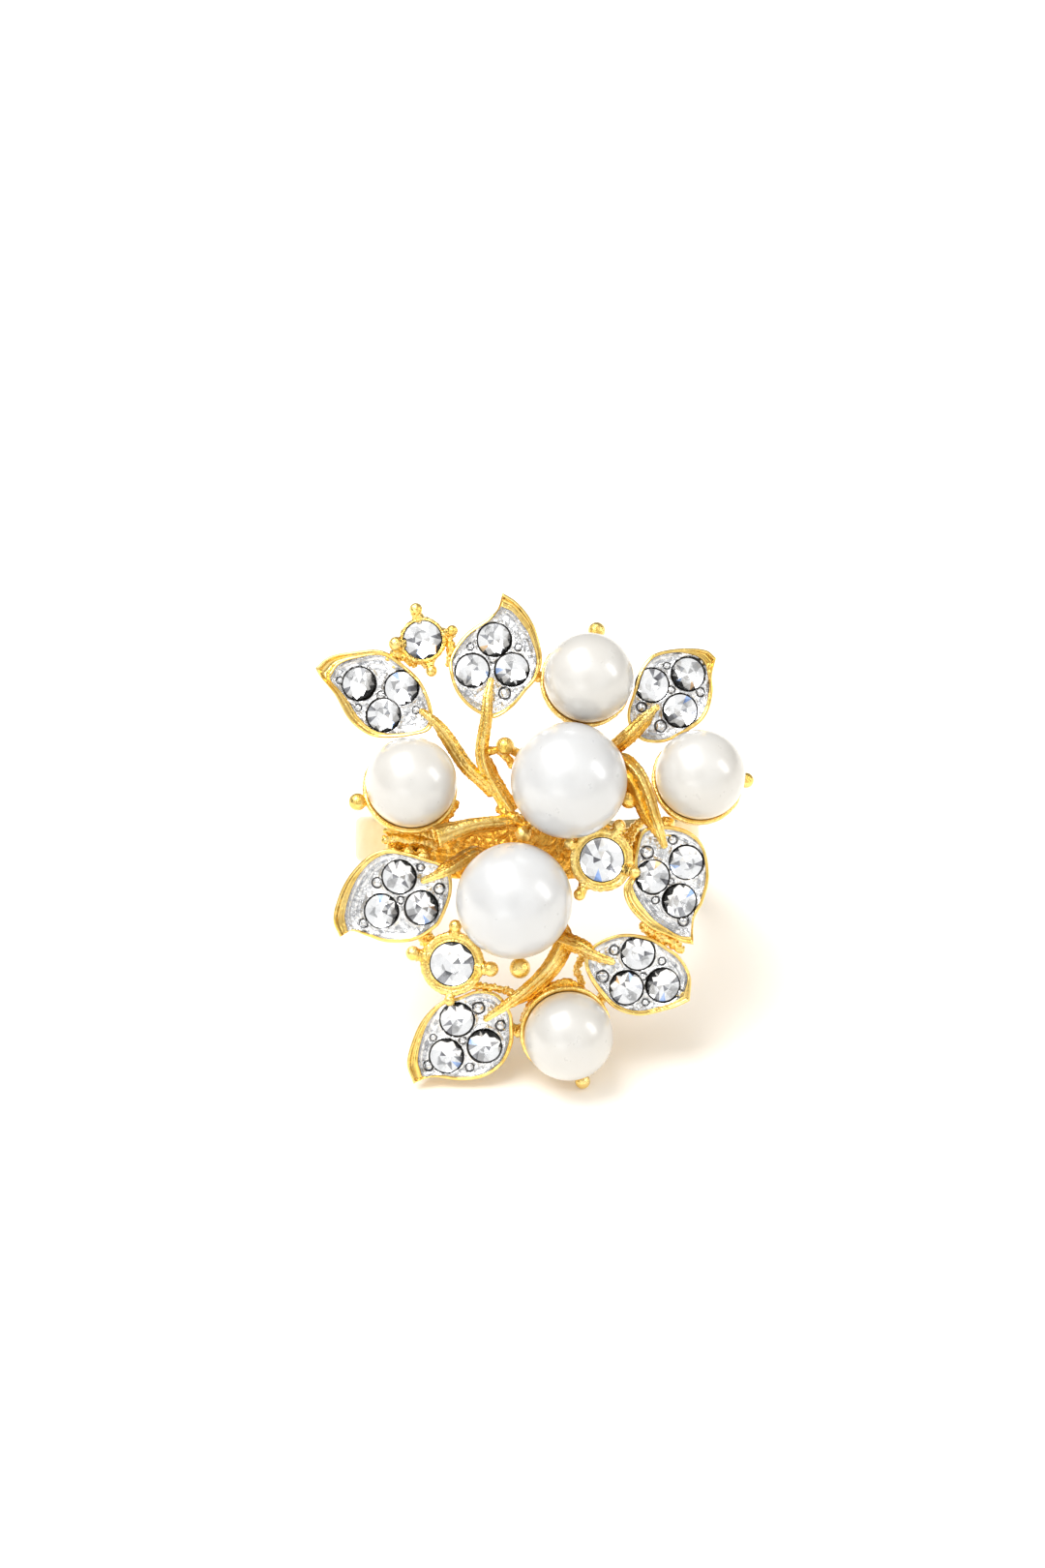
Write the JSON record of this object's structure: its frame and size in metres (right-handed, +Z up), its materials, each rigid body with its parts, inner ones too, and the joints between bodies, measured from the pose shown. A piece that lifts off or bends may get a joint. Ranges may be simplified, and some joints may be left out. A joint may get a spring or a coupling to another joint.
{
  "type": "floral cluster cocktail ring",
  "caption": "Gold-plated finger ring whose tall front is a cluster of pave leaves, imitation pearls and collet-set crystals on twigs, shown leaning back as it rests on a table.",
  "frame": {"origin": "centre of the bounding box at the level the ring stands on", "axes": "+Z up; the head faces -Y and up, its normal about 34 degrees above horizontal; the finger hole runs through in the Y-Z plane; +X is the head's right as seen from the front"},
  "size_m": [0.0266, 0.0292, 0.0256],
  "materials": {
    "gold_plating": "bright gold plating over a zinc or brass casting, polished on the band and leaf lips, stippled on twigs and cups",
    "rhodium_plating": "white rhodium plating in the stone fields of the leaves, rough between the stones",
    "imitation_pearl": "cream white nacre coating with a soft satin gloss",
    "clear_crystal": "clear foiled cut glass"
  },
  "bodies": {
    "root": {"finger_band": "gold_plating", "head_bridge": "gold_plating", "leaf_upper_left": "gold_plating", "leaf_top": "gold_plating", "leaf_upper_right": "gold_plating", "leaf_left": "gold_plating", "leaf_lower_left": "gold_plating", "leaf_right": "gold_plating", "leaf_lower_right": "gold_plating", "collet_upper_left": "gold_plating", "collet_lower_left": "gold_plating", "collet_centre_right": "gold_plating", "cup_upper_large": "gold_plating", "cup_lower_large": "gold_plating", "cup_top": "gold_plating", "cup_right": "gold_plating", "cup_left": "gold_plating", "cup_bottom": "gold_plating", "twig_upper_left": "gold_plating", "twig_top": "gold_plating", "twig_upper_right": "gold_plating", "twig_right": "gold_plating", "twig_left": "gold_plating", "twig_lower_left": "gold_plating", "twig_lower_right": "gold_plating", "main_stem": "gold_plating", "pearl_upper_large": "imitation_pearl", "pearl_lower_large": "imitation_pearl", "pearl_top": "imitation_pearl", "pearl_right": "imitation_pearl", "pearl_left": "imitation_pearl", "pearl_bottom": "imitation_pearl", "leaf_upper_left_crystal_1": "clear_crystal", "leaf_upper_left_crystal_2": "clear_crystal", "leaf_upper_left_crystal_3": "clear_crystal", "leaf_top_crystal_1": "clear_crystal", "leaf_top_crystal_2": "clear_crystal", "leaf_top_crystal_3": "clear_crystal", "leaf_upper_right_crystal_1": "clear_crystal", "leaf_upper_right_crystal_2": "clear_crystal", "leaf_upper_right_crystal_3": "clear_crystal", "leaf_left_crystal_1": "clear_crystal", "leaf_left_crystal_2": "clear_crystal", "leaf_left_crystal_3": "clear_crystal", "leaf_lower_left_crystal_1": "clear_crystal", "leaf_lower_left_crystal_2": "clear_crystal", "leaf_lower_left_crystal_3": "clear_crystal", "leaf_right_crystal_1": "clear_crystal", "leaf_right_crystal_2": "clear_crystal", "leaf_right_crystal_3": "clear_crystal", "leaf_lower_right_crystal_1": "clear_crystal", "leaf_lower_right_crystal_2": "clear_crystal", "leaf_lower_right_crystal_3": "clear_crystal", "collet_upper_left_crystal": "clear_crystal", "collet_lower_left_crystal": "clear_crystal", "collet_centre_right_crystal": "clear_crystal"}
  },
  "joints": []
}
